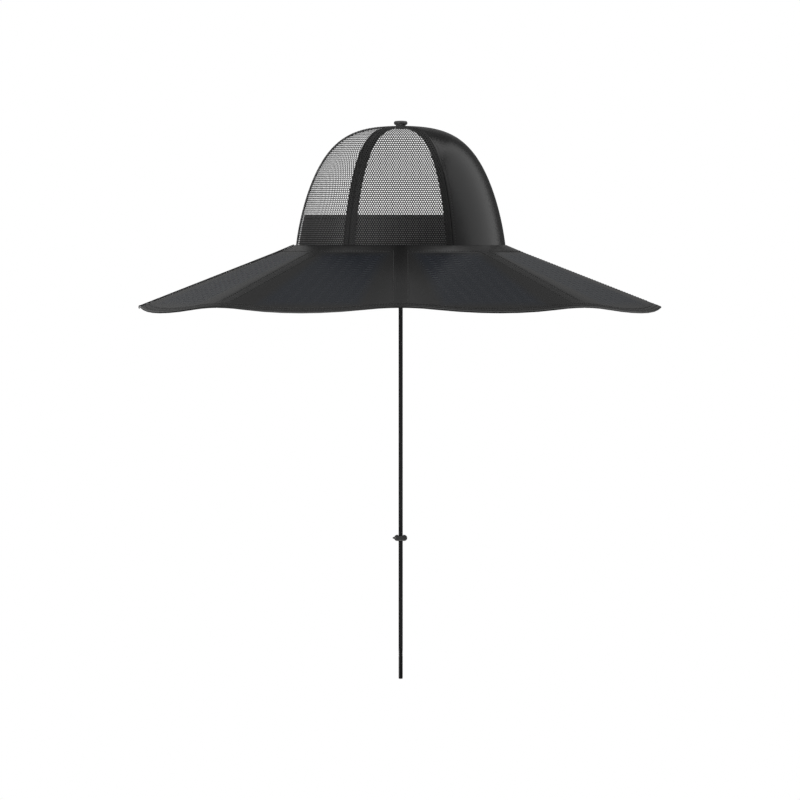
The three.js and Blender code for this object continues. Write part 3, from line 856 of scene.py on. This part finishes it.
def back_binding(material, thread):
    """A tape over the back fold, turned down over the rim."""
    radii = np.concatenate([[BRIM_SEAT_RADIUS + 0.8], np.linspace(97, 104, 5), np.linspace(105.5, 232, 60),
                            [RIM_RADIUS - 0.3]])
    across = np.concatenate([[-5, -4.9, -4.7, -4.2], np.linspace(-3.7, 3.7, 13), [4.2, 4.7, 4.9, 5]])
    edge = BINDING_WIDTH / 2 - np.abs(across)
    thin = 0.4 * (1 - smooth_step(edge, 0, 0.5)) + 0.15 * ridge(np.abs(across) - BINDING_STITCH_ASIDE, 0.4)
    y, radius = np.meshgrid(across, radii)
    height = brim_height(radius, np.abs(y) / radius) + 0.1
    start = np.clip((97.5 - radii) / 1.7, 0, 1)[:, None]
    over = BINDING_THICKNESS - thin[None] - 0.35 * start ** 2
    outer = [*np.stack([-radius, y, height + over], axis=-1)]
    inner = [*np.stack([-radius, y, height], axis=-1)]
    crest = height[-1, len(across) // 2] - 0.1
    hook = [(turn, 0) for turn in (20, 40, 60, 80, 90)] + [(90, down) for down in (0.6, 1.2, 1.7, 2.0, 2.15)]
    for turn, down in hook:
        lean = math.radians(turn)
        base = np.stack(np.broadcast_arrays(-RIM_RADIUS - 0.25, across, crest - down), axis=-1)
        thickness = BINDING_THICKNESS - thin - 0.4 * smooth_step(down, 1.5, 2.2)
        outer.append(base + thickness[:, None] * [-math.sin(lean), 0, math.cos(lean)])
        inner.append(base)
    outer, inner = np.array(outer), np.array(inner)
    uv = np.stack(np.meshgrid(across, lengths_along(outer[:, len(across) // 2])), axis=-1)
    dress("back_seam_binding", "_tape", wall_part(outer, inner, uv), material)
    line = np.linspace(99, 232, 80)
    lift = brim_height(line, np.full_like(line, BINDING_STITCH_ASIDE / 200)) + BINDING_THICKNESS - 0.15
    normals = np.tile(normalise([-FACET_FALL * math.cos(HALF_FACET), 0, 1.0]), (len(line), 1))
    parts = []
    for side in (-1, 1):
        path = np.stack([-line, np.full_like(line, side * BINDING_STITCH_ASIDE), lift], axis=-1)
        parts.append(stitch_line(path, normals, BRIM_STITCH))
    sew("binding_stitches", parts, thread)


# Chin strap and cord lock

def strand_path(side):
    """Points along one strand: a centripetal spline through the route."""
    points = STRAP_ROUTE @ np.array([[0, side, 0], [0, 0, 1]])
    points = np.concatenate([[2 * points[0] - points[1]], points, [2 * points[-1] - points[-2]]])
    t = np.linspace(0, 1, 60, endpoint=False)[:, None]
    places = []
    for before, first, last, after in zip(points, points[1:], points[2:], points[3:]):
        a, b, c = (np.linalg.norm(end - start) ** 0.5
                   for start, end in ((before, first), (first, last), (last, after)))
        leave = ((first - before) / a - (last - before) / (a + b) + (last - first) / b) * b
        arrive = ((last - first) / b - (after - first) / (b + c) + (after - last) / c) * b
        places.append(first * (2 * t ** 3 - 3 * t ** 2 + 1) + leave * (t ** 3 - 2 * t ** 2 + t)
                      + last * (3 * t ** 2 - 2 * t ** 3) + arrive * (t ** 3 - t ** 2))
    places.append(points[-2:-1])
    return np.concatenate(places)


def resample(path, step):
    lengths = lengths_along(path)
    places = np.linspace(0, lengths[-1], round(lengths[-1] / step) + 1)
    return np.stack([np.interp(places, lengths, path[:, axis]) for axis in range(3)], axis=1), places


def strand(name, side, material):
    """A flat woven strand: rounded edges, closed ends, and a shallow groove down each face."""
    path, places = resample(strand_path(side), 1.2)
    forward = normalise(np.gradient(path, axis=0))
    width = np.array([1.0, 0, 0])
    face = np.cross(forward, width)
    turns = np.linspace(0, TAU, 29)
    across = np.sign(np.cos(turns)) * np.abs(np.cos(turns)) ** 0.62 * STRAP_WIDTH / 2
    deep = np.sign(np.sin(turns)) * np.abs(np.sin(turns)) ** 0.5 * STRAP_THICKNESS / 2
    deep = deep * (1 - 0.12 * ridge(across, 0.35))
    reach = across[:, None] * width + deep[:, None] * face[:, None]
    rows = np.pad(np.arange(len(path)), 1, mode="edge")
    size = np.ones(len(rows))
    size[[0, -1]] = 0.02
    points = path[rows, None] + reach[rows] * size[:, None, None]
    around = np.concatenate([[0], np.cumsum(np.hypot(np.diff(across), np.diff(deep)))])
    uv = np.stack(np.meshgrid(around, places[rows]), axis=-1)
    part = tube_part(points[:, :-1], uv)
    made = dress(name, "_webbing", part, material)


def strap_tacks(thread):
    """Rows of close stitches that hold each strand's top to the sweatband."""
    parts = []
    for side in (-1, 1):
        path, _ = resample(strand_path(side), 1.0)
        for row in (1, 3, 5, 7):
            place = path[row] - np.array([0, side * (STRAP_THICKNESS / 2 + 0.02), 0])
            line = place + np.linspace(-1.5, 1.5, 9)[:, None] * np.array([1.0, 0, 0])
            normals = np.tile([0.0, -side, 0.0], (len(line), 1))
            parts.append(stitch_line(line, normals, TACK_STITCH))
    sew("strap_tacks", parts, thread)


def rounded_outline(x, z, corner, inset, steps):
    """A rounded rectangle in the vertical fore-and-aft plane, set in by an inset."""
    a, b = x / 2 - inset, z / 2 - inset
    r = max(corner - inset, 0.05)
    points = []
    for start, sx, sz in ((0, 1, 1), (90, -1, 1), (180, -1, -1), (270, 1, -1)):
        for turn in np.radians(start + np.linspace(0, 90, steps)):
            points.append([sx * (a - r) + r * math.cos(turn), sz * (b - r) + r * math.sin(turn)])
    return points


def rounded_plate(x, y, z, corner, edge, steps, centre=(0, 0, 0)):
    """Points and faces of a plate whose two faces' edges are rounded."""
    rings = []
    for turn in np.radians(np.linspace(0, 90, steps)):
        rings.append((edge * (1 - math.sin(turn)), -y / 2 + edge * (1 - math.cos(turn))))
    rings += [(inset, -place) for inset, place in reversed(rings)]
    points = []
    for inset, place in rings:
        points += [[px, place, pz] for px, pz in rounded_outline(x, z, corner, inset, steps)]
    around = 4 * steps
    faces = [[(ring + lift) * around + (place + step) % around
              for lift, step in ((0, 0), (0, 1), (1, 1), (1, 0))]
             for ring in range(len(rings) - 1) for place in range(around)]
    faces.append(list(range(around)))
    faces.append(list(range(len(points) - around, len(points))))
    return np.array(points) + np.array(centre), faces


def block(x, y, z, centre):
    return rounded_plate(x, y, z, 0.05, 0.05, 2, centre)


def solid(name, points, faces):
    mesh = bpy.data.meshes.new(name)
    mesh.from_pydata((np.asarray(points) * MM).tolist(), [], faces)
    shape = bmesh.new()
    shape.from_mesh(mesh)
    bmesh.ops.remove_doubles(shape, verts=shape.verts, dist=1e-7)
    bmesh.ops.recalc_face_normals(shape, faces=shape.faces)
    shape.to_mesh(mesh)
    shape.free()
    made = bpy.data.objects.new(name, mesh)
    bpy.context.scene.collection.objects.link(made)
    return made


def hard_part(node, suffix, base, cuts, material, bevel, middle=LOCK_CENTRE, body=HAT, joined=()):
    """Shows a carved solid at its height, with its edges rounded a little, in place of its node."""
    base = solid(node, *base)
    tools = [("UNION", solid("joined", *shape)) for shape in joined]
    tools += [("DIFFERENCE", solid("cut", *shape)) for shape in cuts]
    for operation, tool in tools:
        modifier = base.modifiers.new(operation, "BOOLEAN")
        modifier.operation = operation
        modifier.solver = "EXACT"
        modifier.object = tool
    mesh = bpy.data.meshes.new_from_object(base.evaluated_get(bpy.context.evaluated_depsgraph_get()))
    mesh.name = node
    for made in [base] + [tool for _, tool in tools]:
        bpy.data.objects.remove(made)
    mesh.transform(Matrix.Translation((0, 0, middle * MM)))
    mesh.polygons.foreach_set("use_smooth", [True] * len(mesh.polygons))
    mesh.materials.clear()
    made = link_object(node + suffix, mesh, material, body, replaced=[node])
    modifier = made.modifiers.new("edge", "BEVEL")
    modifier.width = bevel * MM
    modifier.segments = 3
    modifier.limit_method = "ANGLE"
    modifier.angle_limit = math.radians(35)
    modifier.harden_normals = True


def cord_lock(material):
    x, y, z = LOCK_SIZE
    bore_length = BORE_END + x
    cuts = [
        block(*SLOT_SIZE, 3 * z, (0, 0, 0)),
        block(bore_length, *BORE_SIZE, (BORE_END - bore_length / 2, 0, 0)),
        rounded_plate(MOUTH_WIDTH, 2 * y, 2 * MOUTH_DEPTH, MOUTH_DEPTH, 0.05, 8, (0, 0, z / 2)),
    ]
    body = rounded_plate(x, y, z, LOCK_CORNER, LOCK_EDGE, 10)
    hard_part("cord_lock", "_body", body, cuts, material, 0.2)


def lock_button(material):
    y, z = PLATE_SIZE
    first, last = PLATE_ENDS
    plate = block(last - first, y, z, ((first + last) / 2, 0, 0))
    nub_length = first + 1 - NUB_TIP
    nub = rounded_plate(nub_length, NUB_WIDTH, z, 0.5, 0.4, 6, (first + 1 - nub_length / 2, 0, 0))
    cuts = [block(WINDOW_ENDS[1] - WINDOW_ENDS[0], WINDOW_WIDTH, 3 * z, (sum(WINDOW_ENDS) / 2, 0, 0))]
    cuts += [block(0.3, 0.28, 3 * z, (NUB_TIP, place, 0)) for place in (-1.4, -0.7, 0, 0.7, 1.4)]
    hard_part("lock_button", "_plate", plate, cuts, material, 0.1, body=BUTTON_BODY,
              joined=[nub])


def strap_end(material):
    """A moulded end with three grip grooves on each side and a mouth for the strands."""
    height = STRAP_END_TOP - STRAP_END_FOOT
    middle = (STRAP_END_TOP + STRAP_END_FOOT) / 2
    moulding = rounded_plate(STRAP_END_WIDTH, STRAP_END_DEPTH, height, 0.95, 0.9, 9)
    cuts = [block(STRAP_WIDTH - 0.5, STRAP_END_DEPTH - 0.6, 2.2, (0, 0, height / 2))]
    for down in (4.2, 5.8, 7.4):
        for side in (-1, 1):
            groove = (side * STRAP_END_WIDTH / 2, 0, height / 2 - down)
            cuts.append(block(0.36, 2 * STRAP_END_DEPTH, 0.6, groove))
    hard_part("strap_end", "_moulding", moulding, cuts, material, 0.12, middle)


# Materials

def canvas_material():
    """The brim's cloth, darker on the strips over its front, back and side folds."""
    material, tree, surface = new_material("brim_cloth", 0.25)
    uv, aside, along = cloth_places(tree)
    place = add_node(tree, "ShaderNodeTexCoord").outputs["Object"]
    axes = add_node(tree, "ShaderNodeSeparateXYZ", {0: place}).outputs
    x, y = (calc(tree, "ABSOLUTE", axis) for axis in axes[:2])
    strip = remap(tree, calc(tree, "MINIMUM", x, y), 3.5 * MM, (STRIP_HALF_WIDTH + 1.5) * MM, 1.0, 0.0)
    threads = plain_weave(tree, aside, along, 0.6)
    # cloth_shading paints the colour darker in the weave's dips, as painted shade between the threads.
    shading, height = cloth_shading(tree, uv, threads, 0.87, 0.25, 0.05, 0.06)
    shading = calc(tree, "MULTIPLY", shading, remap(tree, strip, 0, 1, 1.0, 0.45))
    set_shade(tree, surface, shading, 0.030)
    set_bump(tree, surface, height, 0.04)
    return material


# The solar cell in each panel, in the facet's plan, and its rows of dashes.
CELL_TOP = 108.5
CELL_FOOT = 218.0
CELL_HALF_WIDTHS = (30, 50)
CELL_TINT = (0.80, 0.95, 1.25)
ROW_PITCH = 12.0
DASH_PITCH = 4.4


def laminate_material():
    """A grey laminate with a soft-edged bluish cell, and rows of dashes in its gloss, seen from aslant."""
    material, tree, surface = new_material("solar_laminate", 0.28)
    uv, aside, along = cloth_places(tree)
    half = remap(tree, along, PANEL_TOP, PANEL_FOOT_RADIUS - 4, *CELL_HALF_WIDTHS)
    inside = calc(tree, "SUBTRACT", half, calc(tree, "ABSOLUTE", aside))
    near = calc(tree, "SUBTRACT", along, CELL_TOP)
    far = calc(tree, "SUBTRACT", CELL_FOOT, along)
    cell = calc(tree, "MINIMUM", calc(tree, "MINIMUM", near, far), inside)
    share = remap(tree, cell, -5, 6)
    patches = noise(tree, uv, 0.05, 3)
    backing = mix_colour(tree, patches, grey(0.028), grey(0.032))
    cells = mix_colour(tree, patches, grey(0.028, CELL_TINT), grey(0.032, CELL_TINT))
    tree.links.new(mix_colour(tree, share, backing, cells), surface.inputs["Base Color"])

    dashes = calc(tree, "MULTIPLY_ADD", ripple(tree, along, DASH_PITCH), 0.7, 0.3)
    rows = calc(tree, "MULTIPLY", ripple(tree, aside, ROW_PITCH), dashes)
    broken = remap(tree, noise(tree, uv, 0.12, 2.0), 0.35, 0.6, 0.5, 1.0)
    fuzz = noise(tree, uv, 1.6, 2.0)
    height = calc(tree, "MULTIPLY", calc(tree, "MULTIPLY", rows, broken), share)
    aslant = add_node(tree, "ShaderNodeLayerWeight", {"Blend": 0.5}).outputs["Facing"]
    shown = calc(tree, "MULTIPLY", height, remap(tree, aslant, 0.6, 0.8, 0.15, 1.0))
    tree.links.new(remap(tree, shown, 0, 1, 0.25, 0.41), surface.inputs["Roughness"])
    set_bump(tree, surface, calc(tree, "MULTIPLY_ADD", fuzz, 0.5, height), 0.015)
    return material


def set_speckle(tree, surface, shade, scale, contrast):
    """Fine grain in the colour, which it returns for other uses."""
    grain = noise(tree, add_node(tree, "ShaderNodeTexCoord").outputs["Object"], scale, 2)
    colour = mix_colour(tree, grain, grey((1 - contrast) * shade), grey((1 + contrast) * shade))
    tree.links.new(colour, surface.inputs["Base Color"])
    return grain


def plastic_material(name, shade, roughness):
    material, tree, surface = new_material(name, roughness, Coat_Weight=0.1)
    grain = set_speckle(tree, surface, shade, 2600, 0.15)
    varied = remap(tree, grain, 0.3, 0.7, roughness - 0.05, roughness + 0.08)
    tree.links.new(varied, surface.inputs["Roughness"])
    set_bump(tree, surface, grain, 0.02)
    return material


def thread_material(name, shade):
    material, tree, surface = new_material(name, 0.6, Sheen_Weight=0.1)
    set_speckle(tree, surface, shade, 1800, 0.3)
    return material


# Lights

def make_world():
    """White where the camera sees past the hat, and a dim grey room for its light."""
    world = bpy.data.worlds.new("world")
    world.use_nodes = True
    tree = world.node_tree
    background = tree.nodes["Background"]
    seen = add_node(tree, "ShaderNodeLightPath").outputs["Is Camera Ray"]
    place = add_node(tree, "ShaderNodeTexCoord").outputs["Generated"]
    height = add_node(tree, "ShaderNodeSeparateXYZ", {0: place}).outputs[2]
    room = mix_colour(tree, remap(tree, height, 0.0, 0.45), grey(0.07), grey(0.10))
    tree.links.new(mix_colour(tree, seen, room, grey(1.0)), background.inputs["Color"])
    bpy.context.scene.world = world


def area_light(name, azimuth, elevation, distance, width, height, power):
    """A panel of light that faces the hat's middle. Azimuth 0 is the front and 90 the hat's left."""
    data = bpy.data.lights.new(name, "AREA")
    data.shape = "RECTANGLE"
    data.size = width
    data.size_y = height
    data.energy = power
    light = bpy.data.objects.new(name, data)
    turn, rise = math.radians(azimuth), math.radians(elevation)
    place = Vector(polar(math.cos(rise), turn, math.sin(rise))) * distance
    light.location = place
    light.rotation_euler = (-place).to_track_quat("-Z", "Y").to_euler()
    bpy.context.scene.collection.objects.link(light)


# Each light's azimuth, elevation, distance, width, height and power.
LIGHTS = {
    "key": (112, 72, 1.6, 1.2, 1.2, 1.8),
    "top": (-100, 75, 1.6, 1.2, 1.2, 0.8),
    "back": (90, 16, 2.0, 0.9, 0.6, 0.19),
    "back left": (120, 16, 2.0, 1.0, 0.8, 0.9),
    "front": (18, 20, 1.5, 1.7, 1.7, 7),
    "front top": (-2, 68, 1.5, 1.5, 0.8, 4.0),
    "side": (-32, 22, 1.7, 1.2, 1.4, 1.4),
    "fill": (-145, 30, 2.0, 1.4, 1.4, 8),
    "low fill": (-130, -6, 2.0, 1.4, 1.4, 14),
    "floor": (-60, -85, 2.0, 2.0, 2.0, 16),
}


def make_lights():
    make_world()
    for name, settings in LIGHTS.items():
        area_light(name, *settings)
    view = bpy.context.scene.view_settings
    view.view_transform = "Standard"
    view.look = "None"


# The hat

satin = woven_material("front_panel_satin", 0.008, 0.24, twill_weave, 0.55, 0.01, 0.0, 0.08, (1, 1, 1.01))
net = woven_material("crown_net", 0.022, 0.6, plain_weave, 0.5, 0.05, 0.05, 0.1)
tape = woven_material("seam_tape", 0.012, 0.85, twill_weave, 1.1, 0.12, 0.1, 0.1)
towel = woven_material("sweatband", 0.34, 0.9, plain_weave, 0.7, 0.25, 0.3, 0.12)
button_cloth = woven_material("button_cloth", 0.09, 0.45, twill_weave, 0.6, 0.05, 0.3, 0.08)
canvas = canvas_material()
binding_cloth = woven_material("binding", 0.012, 0.8, twill_weave, 0.9, 0.1, 0.1, 0.08)
webbing = woven_material("strap_webbing", 0.008, 0.75, twill_weave, 0.7, 0.05, 0.15, 0.1)
laminate = laminate_material()
lock_plastic = plastic_material("lock_plastic", 0.075, 0.3)
end_plastic = plastic_material("end_plastic", 0.008, 0.3)
dark_thread = thread_material("dark_thread", 0.02)
brim_thread = thread_material("brim_thread", 0.045)

front_panel(satin)
for start, side, hole_size in ((60, "left", NET_HOLE), (120, "back_left", BACK_NET_HOLE),
                               (180, "back_right", BACK_NET_HOLE), (240, "right", NET_HOLE)):
    net_panel("mesh_panel_" + side, math.radians(start), math.radians(start + 60), hole_size, net)
for node, seam, side, depth in SEAMS:
    seam_tape(node, seam, side, depth, tape)
crown_stitches(dark_thread)
sweatband(towel, dark_thread)
top_button(button_cloth)
brim(canvas)
brim_stitches(brim_thread)
for facet in range(FACETS):
    solar_panel(facet, laminate)
back_binding(binding_cloth, dark_thread)
cord_lock(lock_plastic)
lock_button(lock_plastic)
strap_end(end_plastic)
strand("strap_left", 1, webbing)
strand("strap_right", -1, webbing)
strap_tacks(dark_thread)
make_lights()
